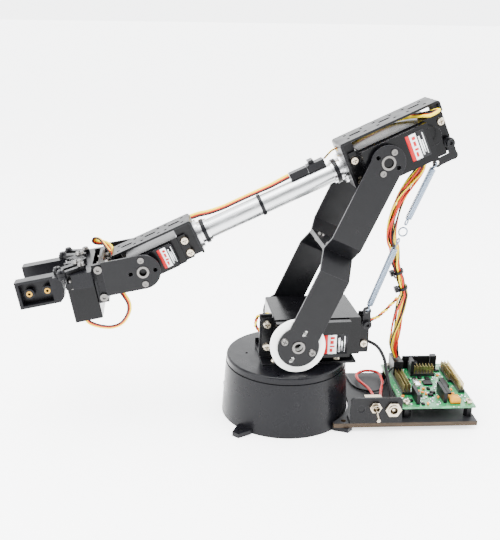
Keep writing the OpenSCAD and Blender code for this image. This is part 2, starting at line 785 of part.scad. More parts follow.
// Folded servo bracket: top plate and two end plates, with ear flanges behind the servo's ears
module servo_bracket(br, y0, y1, s, face, shaft) {
    ear_y = face - s[2] - s[3];
    gap = 0.4;
    c = shaft - s[1];
    len = br[1] - br[0];
    difference() {
        union() {
            translate([br[0], y0, br[3]]) cube([sheet, y1 - y0, br[2] - br[3] - 2]);
            translate([br[1] - sheet, y0, br[3]]) cube([sheet, y1 - y0, br[2] - br[3] - 2]);
            translate([br[0] + 2, y0, br[2] - sheet]) cube([len - 4, y1 - y0, sheet]);
            for (x = [br[0] + 2, br[1] - 2]) translate([x, y0, br[2] - 2]) rotate([-90, 0, 0]) difference() {
                cylinder(r = 2, h = y1 - y0);
                translate([0, 0, -1]) cylinder(r = 0.4, h = y1 - y0 + 2);
                translate([x > c ? -3 : 0, -3, -1]) cube([3, 6, y1 - y0 + 2]);
                translate([-3, 0, -1]) cube([6, 3, y1 - y0 + 2]);
            }
            slab([br[0], ear_y - sheet, br[3]], [c - s[0][0] / 2 - gap, ear_y, br[2] - 1]);
            slab([c + s[0][0] / 2 + gap, ear_y - sheet, br[3]], [br[1], ear_y, br[2] - 1]);
        }
        translate([shaft, 0, 0]) facing_y(face) {
            at_ears(s) {
                disc(1.7, 12, -8);
                disc(3.2, 2.7, -s[3] - sheet - 2.7);
            }
            slab([-s[1] - s[4] / 2 - 2, -s[0][1] / 2, -s[2] - s[3]], [-s[1] + s[4] / 2 + 2, s[0][1] / 2, 0]);
        }
        for (f = [0.2, 0.5, 0.8]) translate([br[0] + f * len, (y0 + y1) / 2, br[2] - 3]) {
            linear_extrude(6) slot_2d(9, 3.2);
            for (x = [-1, 1], y = [-1, 1]) translate([x * 6.5, y * 6, 0]) cylinder(r = 1.3, h = 6);
        }
    }
}

module elbow_bracket() {
    color(black) in_fore() difference() {
        servo_bracket(el_br, -9, 17, big_servo, el_face, 0);
        translate([el_br[1] - 4, 0, tube_t]) rotate([0, 90, 0]) hub_bolt_holes();
    }
}

module wrist_bracket() {
    color(black) in_fore() difference() {
        servo_bracket(wr_br, -10, 13, std_servo, wr_face, fore_len);
        translate([wr_br[0] - 2, 0, tube_t]) rotate([0, 90, 0]) hub_bolt_holes();
    }
}

module hub_bolt_holes() {
    for (a = [45:90:315]) rotate(a) translate([8.4, 0, 0]) cylinder(r = 1.1, h = 6);
}

module elbow_servo() {
    color("#202022") at_elbow() servo(big_servo);
}

module wrist_servo() {
    color("#202022") at_wrist() servo(std_servo);
}

module elbow_screws() {
    color(metal) at_elbow() at_ears(big_servo, [-1, 1]) {
        pan_screw(3.1, 2, 4.6, 1.6);
        translate([0, 0, -big_servo[3] - sheet - 2.2]) hex_nut(3, 2.2, 1.6);
    }
}

module wrist_screws() {
    color(metal) at_wrist() at_ears(std_servo) {
        pan_screw(3.2, 1.8, 4.4, 1.5);
        translate([0, 0, -std_servo[3] - sheet - 2.2]) hex_nut(2.9, 2.2, 1.5);
    }
}

module elbow_idler() {
    back = el_face - big_servo[0][2];
    color("#2a2a2c") in_fore() translate([0, back, 0]) rotate([90, 0, 0]) far_idler(back + leg_up);
}

module wrist_idler() {
    back = wr_face - std_servo[0][2];
    color("#2a2a2c") in_fore() translate([fore_len, back, 0]) rotate([90, 0, 0]) far_idler(back + leg_wr);
}

// Flanged hub along +X from x = 0, that clamps the end of the tube
module tube_hub(flange_r) {
    rotate([0, 90, 0]) difference() {
        union() {
            cylinder(r = flange_r, h = 2.4);
            cylinder(r = tube_r + 1.1, h = 9.5);
        }
        translate([0, 0, 2.4]) cylinder(r = tube_r, h = 10);
        translate([0, 0, -1]) cylinder(r = 4, h = 5);
        for (a = [45:90:315]) rotate(a) translate([8.4, 0, -1]) cylinder(r = 1.1, h = 2.2);
    }
}

module elbow_hub() {
    color(metal) in_fore() translate([el_br[1], 0, tube_t]) tube_hub(11.2);
}

module wrist_hub() {
    color(metal) in_fore() translate([wr_br[0], 0, tube_t]) mirror([1, 0, 0]) tube_hub(10.6);
}

module forearm_tube() {
    x0 = el_br[1] + 2.4;
    x1 = wr_br[0] - 2.4;
    color("#c9ccd0") in_fore() translate([x0, 0, tube_t]) rotate([0, 90, 0]) difference() {
        cylinder(r = tube_r, h = x1 - x0);
        translate([0, 0, -1]) cylinder(r = tube_r - 1.1, h = x1 - x0 + 2);
    }
}

module tie_band(x, r, w, h) {
    translate([x, 0, tube_t]) rotate([0, 90, 0]) difference() {
        cylinder(r = r + h, h = w);
        translate([0, 0, -1]) cylinder(r = r, h = w + 2);
    }
}

// Bands round the tube and its hubs, and the joiner of the wrist leads on top of the tube
module cable_ties() {
    color("#101012") in_fore() {
        tie_band(29.8, tube_r + 1.1, 3, 0.9);
        tie_band(135, tube_r + 1.1, 3, 0.9);
        tie_band(89.7, tube_r, 2.6, 0.9);
        slab([37, -4.5, 9.4], [50.2, 3.5, 15]);
        slab([50.6, -4, 9.4], [64, 3, 14.6]);
        slab([44, -6, 15], [48, 1.5, 17.4]);
    }
}

// ---------- wrist and gripper ----------

module wrist_yoke() {
    color(black) in_grip() difference() {
        intersection() {
            rotate([0, 90, 0]) bent([[-leg_wr, -13], [-leg_wr, web_wr], [leg_wr, web_wr], [leg_wr, -13]], 25);
            union() {
                facing_y(-30) cylinder(r = 12.5, h = 60);
                slab([0, -30, -12.5], [40, 30, 12.5]);
            }
        }
        hub_holes(leg_wr, 8.8, 1.7, 1.5, 4.4);
        hub_holes(-leg_wr, 8.8, 1.5, 1.5, idler_r + fit);
        for (p = yoke_bolts) translate([web_wr - 4, p[0], p[1]]) rotate([0, 90, 0]) cylinder(r = 1.6, h = 8);
    }
}

module forearm_lead() {
    color("#c8a020") in_fore() {
        lead(fore_lead_a_pts, 1.2);
        lead(fore_lead_b_pts, 1.2);
    }
}

module gripper_lead() {
    color("#c8a020") in_grip() lead(grip_lead_pts, 1.3);
}

module wrist_horn() {
    color("#26262a") in_grip() facing_y(wr_face) horn(11, 5, 1, 2.4, leg_wr - sheet - wr_face, 8.8);
}

module gripper_mount() {
    back = web_wr;
    front = 34.8;
    color(black) in_grip() difference() {
        slab([back, -22, -17.5], [front, 22, 11]);
        slab([back + 2.4, -18.5, -14.5], [front + 1, 18.5, 12]);
        for (p = yoke_bolts) translate([back - 1, p[0], p[1]]) rotate([0, 90, 0]) cylinder(r = 1.6, h = 8);
        for (z = mount_bolts) translate([mount_bolt_u, 30, z]) rotate([90, 0, 0]) cylinder(r = 1.5, h = 60);
        for (s = [-1, 1]) slab([back + 3, s * 22 - 0.8, -12], [front - 1.6, s * 22 + 0.8, 6.6]);
    }
}

module at_gripper_servo() {
    translate([grip_u, drive_y, plate_v - 0.2]) rotate([0, 0, 90]) children();
}

module gripper_servo() {
    color("#202022") in_grip() at_gripper_servo() servo(std_servo);
}

module gripper_body() {
    x0 = 34.8;
    x1 = 49;
    half = 29.3;
    ear_top = plate_v - 0.2 - std_servo[2];
    color("#222224") in_grip() difference() {
        union() {
            slab([x0, -half, plate_v], [x1, half, plate_v + 2]);
            mirrored() slab([x0, half - 2, -2], [x1, half, plate_v + 1]);
            slab([x0, 21.4, ear_top], [x1 + 5, half - 1, ear_top + 2.4]);
            slab([x0, -half + 1, ear_top], [x1 + 5, -20.3, ear_top + 2.4]);
            slab([x0, 21.4, ear_top], [x0 + 1, half, plate_v + 1]);
            slab([x0, -half, ear_top], [x0 + 1, -20.3, plate_v + 1]);
            translate([grip_u, -drive_y, plate_v]) cylinder(r = 2.5, h = link_top - plate_v);
            mirrored() translate([grip_u + pivot_off[0], drive_y + pivot_off[1], plate_v]) {
                cylinder(r = 1.5, h = link_top - plate_v);
            }
        }
        translate([grip_u, drive_y, plate_v - 1]) cylinder(r = 6.4, h = 4);
        at_gripper_servo() at_ears(std_servo) disc(1.5, 5, -1);
    }
}

// Every screw of the gripper: yoke, mount and servo screws, the pivot heads and the yoke's collar
module gripper_screws() {
    color("#5c5c60") in_grip() {
        for (p = yoke_bolts) translate([web_wr - sheet, p[0], p[1]]) rotate([0, -90, 0]) {
            cap_screw(2.6, 2.2, 6.2, 1.5);
        }
        mirrored() for (z = mount_bolts) translate([mount_bolt_u, 22, z]) rotate([-90, 0, 0]) {
            cap_screw(2.8, 2, 3, 1.4);
        }
        at_gripper_servo() at_ears(std_servo) translate([0, 0, 2.4]) pan_screw(2.1, 1.5, 5.5, 1.4);
        translate([grip_u, -drive_y, link_top]) pan_screw(3.4, 1.7);
        translate([grip_u, drive_y, link_top]) pan_screw(3.4, 1.7, 1.1, 1.2);
        mirrored() translate([grip_u + pivot_off[0], drive_y + pivot_off[1], link_top]) pan_screw(2.6, 1.7);
        facing_y(leg_wr) {
            for (z = [-8.8, 8.8]) translate([0, z, 0]) cap_screw(2.2, 1, 3.4, 1.4);
            collar(4.3, 0.7);
        }
    }
}

// One tooth pointing along +X
module tooth() {
    tip = gear_r + 0.85 * tooth_m;
    root = gear_r - 1.25 * tooth_m;
    half = PI * tooth_m / 4 - 0.1;
    rise = tan(20) * tooth_m;
    polygon([
        [root - 0.4, -half - 1.25 * rise], [root, -half - 1.25 * rise], [tip, -half + 0.85 * rise],
        [tip, half - 0.85 * rise], [root, half + 1.25 * rise], [root - 0.4, half + 1.25 * rise]]);
}

// Drive link about its own pivot: an arm at link_a, and gear teeth round from the angle first
module drive_link_2d(first, teeth, bore) {
    pitch = 360 / gear_teeth;
    last = first + (teeth - 1) * pitch;
    far = 2 * gear_r;
    fan = [for (a = [first - 9:(last - first + 18) / 4:last + 9.1]) far * [cos(a), sin(a)]];
    difference() {
        union() {
            rotate(link_a) bar_2d([0, 0], [link_len, 0], 5.2, 4.6, 3.2);
            intersection() {
                circle(gear_r - 1.25 * tooth_m);
                polygon(concat([[0, 0]], fan));
            }
            for (k = [0:teeth - 1]) rotate(first + k * pitch) tooth();
        }
        circle(bore);
        rotate(link_a) translate([link_len, 0]) circle(1.5 + fit);
    }
}

module left_link() {
    color("#2c2c2f") in_grip() translate([grip_u, drive_y, link_v]) linear_extrude(link_t) {
        drive_link_2d(-117, 6, spline_r + fit);
    }
}

module right_link() {
    color("#2c2c2f") in_grip() translate([grip_u, -drive_y, link_v]) linear_extrude(link_t) mirror([0, 1]) {
        drive_link_2d(-108, 5, 2.5 + fit);
    }
}

module idler_link() {
    a = [grip_u + pivot_off[0], drive_y + pivot_off[1]];
    b = finger_pin + pivot_off;
    color("#2c2c2f") translate([0, 0, link_v]) linear_extrude(link_t) difference() {
        bar_2d(a, b, 4, 2.9, 3.2);
        translate(a) circle(1.5 + fit);
        translate(b) circle(1.9);
    }
}

module left_idler_link() {
    in_grip() idler_link();
}

module right_idler_link() {
    in_grip() mirror([0, 1, 0]) idler_link();
}

module finger() {
    y0 = grip_gap / 2;
    y1 = y0 + finger_t;
    u0 = finger_u;
    u1 = u0 + finger_len;
    top = 9;
    low = top - finger_h;
    lug = finger_pin + pivot_off;
    difference() {
        union() {
            translate([0, y1, 0]) rotate([90, 0, 0]) linear_extrude(finger_t) {
                polygon([[u0, top], [u1, top], [u1, low], [u0 + 4, low], [u0 + 1, low + 3], [u0, low + 7]]);
            }
            translate([0, 0, plate_v + 0.3]) linear_extrude(top - plate_v - 0.3) {
                bar_2d(lug, [finger_pin[0], y0 + 5], 6.4, 3.2, 3.2);
                translate([u0, y0 + 3]) square([5, lug[1] - y0 - 3]);
            }
            for (p = [finger_pin, lug]) translate([p[0], p[1], top - 0.1]) {
                cylinder(r = 1.5, h = link_top + 0.1 - top);
                translate([0, 0, link_top + 0.1 - top]) pan_screw(2.7, 1.6);
            }
        }
        slab([65, y0 + 2.4, low + 2], [u1 - 2.4, y1 + 1, top - 2]);
    }
    for (u = [68.3, 81]) translate([u, y0 + 2.3, -1.2]) rotate([-90, 0, 0]) difference() {
        cylinder(r = 3.6, h = 5);
        translate([0, 0, 1]) cylinder(r = 1.5, h = 5);
    }
}

module left_finger() {
    color(black) in_grip() finger();
}

module right_finger() {
    color(black) in_grip() mirror([0, 1, 0]) finger();
}

// ---------- leads of the arm ----------

module shoulder_lead() {
    color("#c8a020") {
        lead(shoulder_lead_pts, 1.4);
        lead(shoulder_loop_pts, 1.3);
    }
}

module elbow_bundle() {
    color("#c8a020") lead(elbow_bundle_pts, 3);
}

module arm_bundle() {
    color("#c8a020") lead(arm_bundle_pts, 3);
}

base_housing();
base_servo();
ball_ring();
carrier_plate();
switch_panel();
toggle_switch();
toggle_lever();
power_jack();
standoffs();
base_screws();
controller_board();
board_headers();
board_chips();
lead_plugs();
board_leads();
base_leads();
turntable();
base_horn();
shoulder_bracket();
shoulder_servo();
shoulder_screws();
shoulder_idler();
lower_spring_tab();
shoulder_lead();
lower_spring();
arm_bundle();
shoulder_horn();
lower_arm_bracket();
upper_arm_bracket();
arm_screws();
elbow_horn();
upper_spring();
elbow_bundle();
elbow_bracket();
elbow_servo();
elbow_screws();
elbow_idler();
upper_spring_tab();
elbow_hub();
forearm_tube();
wrist_hub();
cable_ties();
forearm_lead();
wrist_bracket();
wrist_servo();
wrist_screws();
wrist_idler();
wrist_horn();
wrist_yoke();
gripper_mount();
gripper_servo();
gripper_body();
gripper_screws();
gripper_lead();
left_link();
right_link();
left_idler_link();
right_idler_link();
left_finger();
right_finger();
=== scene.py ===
import json
import math
import random

import bmesh
import bpy
from mathutils import Matrix, Vector


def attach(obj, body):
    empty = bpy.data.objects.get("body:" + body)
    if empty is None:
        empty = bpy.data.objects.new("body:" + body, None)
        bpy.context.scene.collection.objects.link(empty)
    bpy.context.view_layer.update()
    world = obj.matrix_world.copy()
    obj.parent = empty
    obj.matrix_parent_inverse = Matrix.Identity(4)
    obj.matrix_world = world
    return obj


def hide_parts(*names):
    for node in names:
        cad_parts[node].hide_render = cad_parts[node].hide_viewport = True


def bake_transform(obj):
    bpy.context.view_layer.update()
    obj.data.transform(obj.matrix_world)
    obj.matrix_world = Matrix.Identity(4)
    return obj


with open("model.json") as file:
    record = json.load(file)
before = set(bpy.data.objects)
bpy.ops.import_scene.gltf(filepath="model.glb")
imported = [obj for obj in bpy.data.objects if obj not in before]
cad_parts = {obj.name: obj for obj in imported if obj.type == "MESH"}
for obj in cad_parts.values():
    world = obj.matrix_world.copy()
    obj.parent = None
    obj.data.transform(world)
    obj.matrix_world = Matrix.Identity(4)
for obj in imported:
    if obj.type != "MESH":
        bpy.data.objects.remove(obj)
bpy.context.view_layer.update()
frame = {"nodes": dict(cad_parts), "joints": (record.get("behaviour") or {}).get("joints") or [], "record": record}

MM = 0.001
PIVOT = {j["name"]: Vector(j["pos_m"]) for j in frame["joints"]}
AXIS = {j["name"]: Vector(j["axis"]) for j in frame["joints"]}
ELBOW, WRIST = PIVOT["elbow_tilt"], PIVOT["wrist_tilt"]


def tilted(origin, angle):
    """A frame at origin, turned by angle about +Y, for sizes in millimetres."""
    return Matrix.Translation(origin) @ Matrix.Rotation(angle, 4, "Y") @ Matrix.Scale(MM, 4)


def pitch_of(vector):
    return math.atan2(-vector.z, vector.x)


ROW = Matrix.Scale(MM, 4)
CARRIER = Matrix.Rotation(math.atan2(AXIS["toggle_throw"].y, AXIS["toggle_throw"].x), 4, "Z") @ ROW
FORE = tilted(ELBOW, pitch_of(WRIST - ELBOW))
HAND = tilted(WRIST, math.atan2(AXIS["grip_drive"].x, AXIS["grip_drive"].z))
FACING_Y = Matrix.Rotation(-math.pi / 2, 4, "X")


# ---------- camera ----------

def make_camera():
    yaw, pitch, roll = (math.radians(a) for a in (7.46, 18.42, 0.85))
    forward = Vector((-math.sin(yaw) * math.cos(pitch), -math.cos(yaw) * math.cos(pitch), -math.sin(pitch)))
    level = Vector((-math.cos(yaw), math.sin(yaw), 0))
    above = level.cross(forward)
    right = level * math.cos(roll) + above * math.sin(roll)
    up = above * math.cos(roll) - level * math.sin(roll)
    camera = bpy.data.objects.new("camera", bpy.data.cameras.new("camera"))
    camera.data.lens = 50.7
    camera.data.sensor_width = 36
    camera.data.clip_start = 0.01
    turn = Matrix((right, up, -forward)).transposed().to_4x4()
    camera.matrix_world = Matrix.Translation((0.0996, 0.5373, 0.2967)) @ turn
    bpy.context.scene.collection.objects.link(camera)
    bpy.context.scene.camera = camera


make_camera()


# ---------- materials ----------

class Shader:
    """A Principled material with procedural inputs in object space."""

    def __init__(self, name, colour, rough, metal=0.0, coat=0.0, specular=0.5):
        self.mat = bpy.data.materials.new(name)
        self.mat.use_nodes = True
        self.nodes, self.links = self.mat.node_tree.nodes, self.mat.node_tree.links
        self.bsdf = self.nodes["Principled BSDF"]
        self.bsdf.inputs["Base Color"].default_value = (*colour, 1)
        self.bsdf.inputs["Roughness"].default_value = rough
        self.bsdf.inputs["Metallic"].default_value = metal
        self.bsdf.inputs["Coat Weight"].default_value = coat
        self.bsdf.inputs["Specular IOR Level"].default_value = specular
        self.place = self.nodes.new("ShaderNodeTexCoord").outputs["Object"]
        self.colour, self.rough = colour, rough

    def node(self, kind, inputs=None, **settings):
        made = self.nodes.new(kind)
        for key, value in settings.items():
            setattr(made, key, value)
        for key, value in (inputs or {}).items():
            if isinstance(value, bpy.types.NodeSocket):
                self.links.new(value, made.inputs[key])
            else:
                made.inputs[key].default_value = value
        return made

    def turned(self, stretch=(1, 1, 1), tilt=0.0):
        """Object coordinates, tilted about Y and stretched."""
        spun = self.node("ShaderNodeMapping", {"Vector": self.place, "Rotation": (0, -tilt, 0)}).outputs[0]
        return self.node("ShaderNodeMapping", {"Vector": spun, "Scale": stretch}).outputs[0]

    def noise(self, scale, detail=3.0, stretch=(1, 1, 1), tilt=0.0):
        where = self.turned(stretch, tilt)
        inputs = {"Vector": where, "Scale": scale, "Detail": detail}
        return self.node("ShaderNodeTexNoise", inputs).outputs["Fac"]

    def mapped(self, value, low, high, start=0.3, end=0.7):
        inputs = {"Value": value, "From Min": start, "From Max": end, "To Min": low, "To Max": high}
        return self.node("ShaderNodeMapRange", inputs).outputs[0]

    def blend(self, amount, first, second):
        mix = self.node("ShaderNodeMix", data_type="RGBA")
        for key, value in ((0, amount), (6, first), (7, second)):
            if isinstance(value, bpy.types.NodeSocket):
                self.links.new(value, mix.inputs[key])
            else:
                mix.inputs[key].default_value = value if key == 0 else (*value, 1)
        return mix.outputs[2]

    def edges(self, radius):
        """1 on an edge within radius, 0 elsewhere."""
        soft = self.node("ShaderNodeBevel", {"Radius": radius}, samples=6).outputs[0]
        flat = self.node("ShaderNodeNewGeometry").outputs["Normal"]
        same = self.node("ShaderNodeVectorMath", {0: soft, 1: flat}, operation="DOT_PRODUCT").outputs["Value"]
        return self.mapped(same, 1.0, 0.0, 0.86, 0.985)

    def paint(self, socket):
        self.links.new(socket, self.bsdf.inputs["Base Color"])

    def roughen(self, socket):
        self.links.new(socket, self.bsdf.inputs["Roughness"])

    def bump(self, height, strength, depth):
        made = self.node("ShaderNodeBump", {"Height": height, "Strength": strength, "Distance": depth})
        self.links.new(made.outputs[0], self.bsdf.inputs["Normal"])


GRAIN_DEPTH = 0.00001


def scaled(colour, k):
    return tuple(min(1.0, c * k) for c in colour)


def moulded(name, colour, rough, grain=1800.0, strength=0.1, wear=1.3):
    """Moulded plastic: a fine grain and faint flow marks."""
    s = Shader(name, colour, rough, specular=0.12)
    flow = s.noise(35, 4)
    s.paint(s.blend(flow, scaled(colour, 0.7), scaled(colour, wear)))
    s.roughen(s.mapped(s.noise(110, 3), rough - 0.06, rough + 0.06))
    s.bump(s.noise(grain, 2), strength, GRAIN_DEPTH)
    return s.mat


def anodised(name, colour, rough):
    """Black anodised sheet: a fine rolled grain and a painted highlight along its edges."""
    s = Shader(name, colour, rough, specular=0.14)
    grain = s.noise(900, 3, (1, 0.12, 1))
    skin = s.blend(grain, scaled(colour, 0.75), scaled(colour, 1.3))
    # Painted highlight: the edge mask paints a lighter grey along every edge, standing in for light caught on the
    # edges.
    s.paint(s.blend(s.edges(0.00022), skin, (0.05, 0.05, 0.055)))
    s.roughen(s.mapped(s.noise(120, 3), rough - 0.05, rough + 0.07))
    s.bump(grain, 0.06, GRAIN_DEPTH)
    return s.mat


def brushed(name, colour, rough, stretch, tilt=0.0, scale=700.0, metal=1.0, depth=0.00003):
    """Bare or plated metal with a drawn or turned finish."""
    s = Shader(name, colour, rough, metal=metal)
    lines = s.noise(scale, 5, stretch, tilt)
    s.paint(s.blend(lines, scaled(colour, 0.86), scaled(colour, 1.08)))
    s.roughen(s.mapped(lines, rough - 0.08, rough + 0.1))
    s.bump(lines, 0.2, depth)
    return s.mat


def wire(name, colour):
    """Soft insulation: slightly uneven, with a dull shine."""
    s = Shader(name, colour, 0.42, specular=0.2)
    s.paint(s.blend(s.noise(120, 3), scaled(colour, 0.8), scaled(colour, 1.1)))
    s.bump(s.noise(900, 2), 0.1, 0.00003)
    return s.mat


def circuit_board():
    """Solder mask over copper tracks and a hatched ground plane."""
    colour = (0.004, 0.115, 0.035)
    s = Shader("board_mask", colour, 0.32, coat=0.35)
    brick = s.node("ShaderNodeTexBrick", {"Vector": s.turned((1, 1, 1)), "Scale": 150.0, "Mortar Size": 0.035,
                                          "Brick Width": 0.9, "Row Height": 0.3})
    cells = s.node("ShaderNodeTexVoronoi", {"Vector": s.place, "Scale": 260.0})
    tracks = s.mapped(brick.outputs["Fac"], 0.0, 0.75, 0.2, 0.6)
    holes = s.mapped(cells.outputs["Distance"], 1.0, 0.0, 0.1, 0.16)
    base = s.blend(s.noise(70, 3), scaled(colour, 0.8), scaled(colour, 1.3))
    s.paint(s.blend(holes, s.blend(tracks, base, (0.02, 0.27, 0.09)), (0.5, 0.56, 0.42)))
    s.bump(tracks, 0.3, 0.00005)
    return s.mat


HEADER_BASE = 0.0026


def pin_header():
    """Gold pins above a black base strip."""
    s = Shader("pin_header", (0.4, 0.32, 0.13), 0.3, metal=1.0)
    floor_z = min(v.co.z for v in frame["nodes"]["board_headers"].data.vertices)
    height = s.node("ShaderNodeSeparateXYZ", {0: s.place}).outputs["Z"]
    pin = s.mapped(height, 0.0, 1.0, floor_z + HEADER_BASE - 0.0001, floor_z + HEADER_BASE)
    gold = s.blend(s.noise(900, 3), (0.32, 0.25, 0.1), (0.5, 0.4, 0.17))
    s.paint(s.blend(pin, (0.004, 0.004, 0.005), gold))
    s.links.new(pin, s.bsdf.inputs["Metallic"])
    return s.mat


def fibre_sheet():
    """Black-faced sheet whose sawn edge is brown with fine layers."""
    s = Shader("fibre_sheet", (0.02, 0.02, 0.022), 0.45, specular=0.15)
    normal = s.node("ShaderNodeNewGeometry").outputs["Normal"]
    side = s.node("ShaderNodeSeparateXYZ", {0: normal}).outputs["Z"]
    edge = s.mapped(s.node("ShaderNodeMath", {0: side}, operation="ABSOLUTE").outputs[0], 1.0, 0.0, 0.3, 0.6)
    layers = s.noise(900, 3, (0.15, 0.15, 1))
    face = s.blend(s.noise(300, 3), (0.005, 0.005, 0.006), (0.012, 0.012, 0.013))
    s.paint(s.blend(edge, face, s.blend(layers, (0.012, 0.008, 0.005), (0.05, 0.032, 0.018))))
    s.bump(layers, 0.2, 0.00005)
    return s.mat


along = pitch_of(WRIST - ELBOW)
MAT = {
    "black_plastic": moulded("moulded_black", (0.0032, 0.0032, 0.0042), 0.3, grain=1500),
    "black_anodised": anodised("anodised_black", (0.0026, 0.0026, 0.0032), 0.32),
    "servo_case": moulded("servo_case", (0.0016, 0.0016, 0.002), 0.22, grain=2600, strength=0.04),
    "white_nylon": moulded("white_nylon", (0.82, 0.82, 0.8), 0.42, grain=900, wear=1.1),
    "bright_metal": brushed("machined", (0.5, 0.5, 0.51), 0.2, (6, 0.4, 0.4), along),
    "tube_metal": brushed("drawn_tube", (0.5, 0.51, 0.52), 0.3, (0.06, 1, 1), along, 1300),
    "nickel": brushed("nickel_plate", (0.42, 0.37, 0.29), 0.22, (1, 1, 1), 0, 300),
    "steel": brushed("steel", (0.12, 0.115, 0.11), 0.3, (1, 1, 1), 0, 400),
    "zinc_spring": brushed("spring_wire", (0.16, 0.2, 0.26), 0.3, (1, 1, 1), 0, 500),
    "gold_pins": pin_header(),
    "black_board_parts": moulded("header_black", (0.003, 0.003, 0.0035), 0.36, grain=2200),
    "carrier_board": fibre_sheet(),
    "board_green": circuit_board(),
    "link_plastic": moulded("link_black", (0.0024, 0.0024, 0.003), 0.33, grain=1600),
    "tin": brushed("tinned", (0.75, 0.76, 0.78), 0.25, (1, 1, 1), 0, 600),
    "brass": brushed("brass_insert", (0.3, 0.17, 0.03), 0.3, (1, 1, 1), 0, 500),
    "yellow_wire": wire("yellow_insulation", (0.8, 0.58, 0.004)),
    "red_wire": wire("red_insulation", (0.5, 0.022, 0.006)),
    "brown_wire": wire("brown_insulation", (0.006, 0.004, 0.004)),
    "power_red": wire("power_red", (0.42, 0.008, 0.006)),
    "power_black": wire("power_black", (0.005, 0.005, 0.006)),
    "label_red": moulded("label_red", (0.42, 0.008, 0.012), 0.35, grain=800, wear=1.0),
    "label_silver": brushed("label_silver", (0.7, 0.71, 0.73), 0.3, (1, 0.1, 1), 0, 800, metal=0.8),
    "label_black": moulded("label_black", (0.008, 0.008, 0.009), 0.3, grain=800),
    "label_white": moulded("label_white", (0.78, 0.78, 0.8), 0.35, grain=700, wear=1.1),
    "cap_yellow": moulded("capacitor_yellow", (0.5, 0.22, 0.012), 0.35, grain=900, wear=1.1),
    "cap_orange": moulded("capacitor_orange", (0.7, 0.22, 0.03), 0.35, grain=900),
}

OWN_LOOK = {
    "forearm_tube": "tube_metal", "arm_screws": "steel", "gripper_screws": "steel",
    "lead_wire": "yellow_wire", "power_wire": "power_black"}
SOFT_EDGES = {
    "servo_case": 0.5, "black_plastic": 0.4, "black_anodised": 0.22, "white_nylon": 0.35, "bright_metal": 0.2,
    "black_board_parts": 0.15, "carrier_board": 0.15, "link_plastic": 0.3, "nickel": 0.12}
NO_BEVEL = {"forearm_tube", "ball_ring", "elbow_screws", "wrist_screws", "arm_screws"}


def dress_cad_nodes():
    for entry in frame["record"]["subparts"]:
        name, slot_name = entry["node"], entry["material_slot"]
        node = frame["nodes"][name]
        look = OWN_LOOK.get(name, OWN_LOOK.get(slot_name, slot_name))
        node.data.materials.clear()
        node.data.materials.append(MAT[look])
        if slot_name in SOFT_EDGES and name not in NO_BEVEL:
            bevel = node.modifiers.new("soft_edges", "BEVEL")
            bevel.width, bevel.segments = SOFT_EDGES[slot_name] * MM, 2
            bevel.limit_method, bevel.angle_limit = "ANGLE", math.radians(40)
            bevel.harden_normals = True


dress_cad_nodes()


# ---------- pieces ----------

class Piece:
    """A mesh in millimetres in a local frame, which becomes an object on a body."""

    def __init__(self, name, body, place):
        self.name, self.body, self.place = name, body, place
        self.bm, self.mats = bmesh.new(), []

    def tag(self, faces, mat):
        if mat not in self.mats:
            self.mats.append(mat)
        for face in faces:
            face.material_index = self.mats.index(mat)
            face.smooth = True

    def box(self, low, high, mat, at=Matrix.Identity(4)):
        size, middle = Vector(high) - Vector(low), (Vector(high) + Vector(low)) / 2
        put = at @ Matrix.Translation(middle) @ Matrix.Diagonal((*size, 1))
        made = bmesh.ops.create_cube(self.bm, size=1, matrix=put)["verts"]
        self.tag({f for v in made for f in v.link_faces}, mat)

    def lathe(self, profile, mat, at=Matrix.Identity(4), sides=48, closed=False):
        """Turns (radius, height) points about Z."""
        rings = []
        for k in range(sides):
            a = 2 * math.pi * k / sides
            points = [Vector((r * math.cos(a), r * math.sin(a), z)) for r, z in profile]
            rings.append([self.bm.verts.new(at @ point) for point in points])
        faces = []
        n = len(profile)
        last = n if closed else n - 1
        for k in range(sides):
            a, b = rings[k], rings[(k + 1) % sides]
            for i in range(last):
                j = (i + 1) % n
                faces.append(self.bm.faces.new((a[i], b[i], b[j], a[j])))
        self.tag(faces, mat)

    def sweep(self, rings, mat):
        """Skins a run of equal rings and closes both ends."""
        made = [[self.bm.verts.new(p) for p in ring] for ring in rings]
        n = len(made[0])
        faces = []
        for a, b in zip(made, made[1:]):
            faces += [self.bm.faces.new((a[k], a[(k + 1) % n], b[(k + 1) % n], b[k])) for k in range(n)]
        faces += [self.bm.faces.new(made[0][::-1]), self.bm.faces.new(made[-1])]
        self.tag(faces, mat)

    def done(self, bevel=0.0, replaces=(), smooth=True, ride=True):
        bmesh.ops.recalc_face_normals(self.bm, faces=self.bm.faces)
        mesh = bpy.data.meshes.new(self.name)
        self.bm.to_mesh(mesh)
        self.bm.free()
        mesh.transform(self.place)
        for mat in self.mats:
            mesh.materials.append(MAT[mat])
        made = bpy.data.objects.new(self.name, mesh)
        bpy.context.scene.collection.objects.link(made)
        if bevel:
            soften(made, bevel)
        elif smooth:
            mesh.set_sharp_from_angle(angle=math.radians(40))
        if ride:
            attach(made, self.body)
        if replaces:
            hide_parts(*replaces)
        return made


def soften(obj, width, segments=2, angle=30):
    made = obj.modifiers.new("soft_edges", "BEVEL")
    made.width, made.segments = width * MM, segments
    made.limit_method, made.angle_limit = "ANGLE", math.radians(angle)
    made.harden_normals = True


# ---------- leads ----------

def smooth_path(points, step=1.2):
    """Catmull-Rom through the points, with a point about every step."""
    pts = [Vector(p) for p in points]
    out = []
    for i in range(len(pts) - 1):
        a, b, c, d = pts[max(i - 1, 0)], pts[i], pts[i + 1], pts[min(i + 2, len(pts) - 1)]
        n = max(2, round((c - b).length / step))
        for k in range(n):
            u = k / n
            square, cube = 2 * a - 5 * b + 4 * c - d, 3 * b - a - 3 * c + d
            out.append(0.5 * (2 * b + (c - a) * u + square * u * u + cube * u ** 3))
    return out + [pts[-1]]


